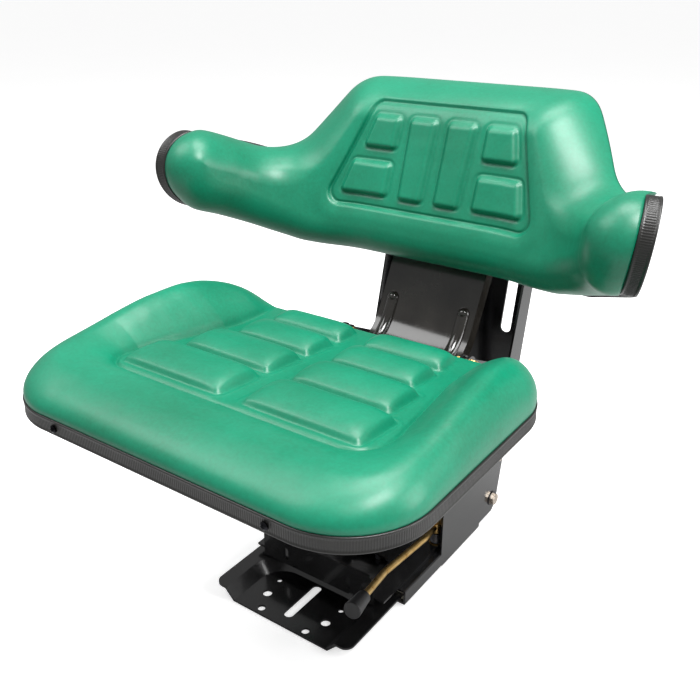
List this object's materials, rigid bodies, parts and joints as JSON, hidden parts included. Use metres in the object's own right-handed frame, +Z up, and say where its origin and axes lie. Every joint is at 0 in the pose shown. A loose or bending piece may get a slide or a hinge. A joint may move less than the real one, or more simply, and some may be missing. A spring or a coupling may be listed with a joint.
{
  "type": "tractor seat",
  "caption": "Sprung vehicle seat with a padded cushion and wrap-around backrest on a parallelogram suspension, a fore-and-aft slide and a flat base with bolt holes.",
  "frame": {"origin": "centre of the mounting hole pattern, on the underside of the base plate", "axes": "+Z up; the occupant faces -Y; +X is the occupant's left, the side that the slide lever is on"},
  "size_m": [0.6546, 0.6118, 0.589],
  "materials": {
    "black_gloss_paint": "gloss black enamel on pressed steel, light orange peel",
    "zinc_yellow": "yellow-passivated zinc plate, satin, faint iridescence",
    "dark_steel": "oiled spring and pivot steel",
    "green_vinyl": "soft-grained green vinyl, semi-gloss",
    "seat_foam": "moulded polyurethane foam, open cell",
    "textured_trim": "black edge band with a fine cross-ribbed texture",
    "black_shell": "moulded black plastic, fine spark texture",
    "black_plastic": "moulded black plastic, satin",
    "nylon": "natural nylon, waxy",
    "rubber": "matt black rubber",
    "bronze": "sintered bronze, oiled"
  },
  "bodies": {
    "base": {"base_plate": "black_gloss_paint", "stop_pins": "dark_steel", "lock_rack": "black_gloss_paint", "rack_rivets": "dark_steel"},
    "carriage": {"carriage_channel_left": "black_gloss_paint", "carriage_channel_right": "black_gloss_paint", "glide_blocks": "nylon", "carriage_deck": "black_gloss_paint", "front_cross_member": "black_gloss_paint", "rear_cross_member": "black_gloss_paint", "side_plate_left": "black_gloss_paint", "side_plate_right": "black_gloss_paint", "back_panel": "black_gloss_paint", "tie_tube": "black_gloss_paint", "tie_bolts": "zinc_yellow", "tie_washers": "black_plastic", "lower_rear_pivot_bolts": "zinc_yellow", "upper_rear_pivot_bolts": "zinc_yellow", "rear_pivot_nuts": "zinc_yellow", "bump_stops": "rubber", "spring_anchor_bar": "dark_steel", "lever_washer": "zinc_yellow", "lever_return_spring": "dark_steel", "suspension_spring_left": "dark_steel", "suspension_spring_right": "dark_steel"},
    "lower_arm": {"lower_arm_left": "black_gloss_paint", "lower_arm_right": "black_gloss_paint", "lower_arm_tube": "black_gloss_paint", "spring_lugs": "black_gloss_paint", "lower_arm_bushes": "bronze"},
    "upper_links": {"upper_link_left": "black_gloss_paint", "upper_link_right": "black_gloss_paint", "upper_link_bushes": "bronze"},
    "seat_frame": {"seat_bracket": "black_gloss_paint", "link_plate_left": "black_gloss_paint", "link_plate_right": "black_gloss_paint", "bracket_spacers": "black_gloss_paint", "front_pivot_bolts": "zinc_yellow", "front_pivot_nuts": "zinc_yellow", "seat_pan": "black_shell", "seat_trim": "textured_trim", "seat_foam": "seat_foam", "seat_cover": "green_vinyl", "seat_risers": "black_gloss_paint", "seat_bolts": "zinc_yellow", "seat_nuts": "zinc_yellow", "seat_trim_screws": "dark_steel", "backrest_pan": "black_shell", "backrest_trim": "textured_trim", "backrest_foam": "seat_foam", "backrest_cover": "green_vinyl", "backrest_bolts": "zinc_yellow", "backrest_inserts": "bronze"},
    "lever": {"lever_rod": "zinc_yellow", "lever_pivot_pin": "zinc_yellow", "lock_pawl": "black_gloss_paint", "lever_knob": "black_plastic"}
  },
  "joints": [
    {"name": "carriage_slide", "type": "slide", "parent": "base", "child": "carriage", "axis": [0, 1, 0], "range_m": [-0.075, 0.075]},
    {"name": "lower_arm_pivot", "type": "hinge", "parent": "carriage", "child": "lower_arm", "pos_m": [0, 0.192, 0.105], "axis": [1, 0, 0], "range_deg": [0, 45], "stiffness_Nm_per_rad": 120, "springref_deg": -25.78, "deforming": ["suspension_spring_left", "suspension_spring_right"]},
    {"name": "upper_link_pivot", "type": "hinge", "parent": "carriage", "child": "upper_links", "pos_m": [0, 0.208, 0.223], "axis": [1, 0, 0], "range_deg": [0, 45]},
    {"name": "seat_frame_pivot", "type": "hinge", "parent": "lower_arm", "child": "seat_frame", "pos_m": [0, 0.09684, 0.14937], "axis": [1, 0, 0], "range_deg": [-45, 0]},
    {"name": "lever_pivot", "type": "hinge", "parent": "carriage", "child": "lever", "pos_m": [0.092, 0.058, 0.056], "axis": [0, 0, 1], "range_deg": [0, 12], "stiffness_Nm_per_rad": 1.2, "springref_deg": -11.46}
  ],
  "couplings": [
    {"joint": "upper_link_pivot", "follows": "lower_arm_pivot", "ratio": 1},
    {"joint": "seat_frame_pivot", "follows": "lower_arm_pivot", "ratio": -1}
  ]
}
